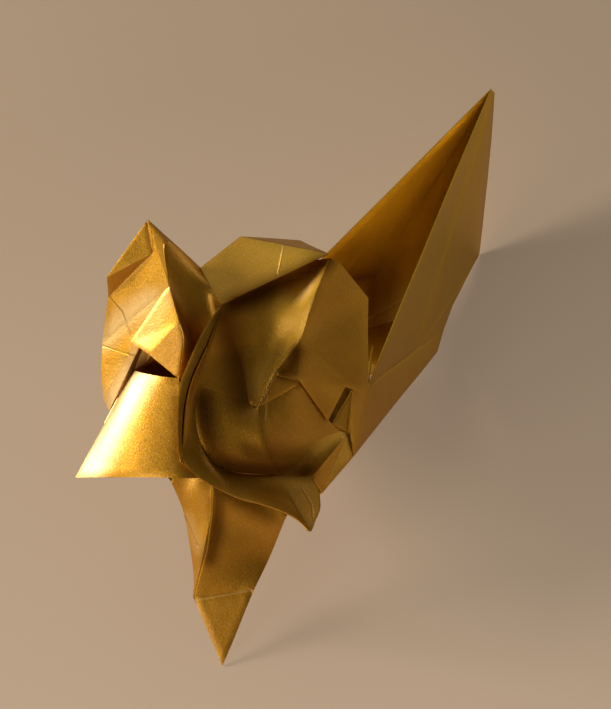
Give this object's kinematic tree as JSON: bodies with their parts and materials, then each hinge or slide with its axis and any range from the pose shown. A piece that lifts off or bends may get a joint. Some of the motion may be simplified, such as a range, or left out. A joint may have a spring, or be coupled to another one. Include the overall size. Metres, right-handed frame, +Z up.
{
  "type": "origami gladiator helmet",
  "caption": "Gladiator helmet folded from a square of metallic gold paper, with a tall swept crest, an open face, a nose fold, a flared cheek guard and a pointed tail.",
  "frame": {"origin": "centre of the bounding box's base, on the surface it lies on", "axes": "+Y along the length from the tail's tip towards the crest's tip, +Z up from the surface it lies on, +X across, away from the left ear"},
  "size_m": [0.154, 0.1598, 0.1138],
  "materials": {
    "gold_paper": "satin metallic gold with a fine sparkle"
  },
  "bodies": {
    "root": {"folded_sheet": "gold_paper"}
  },
  "joints": []
}
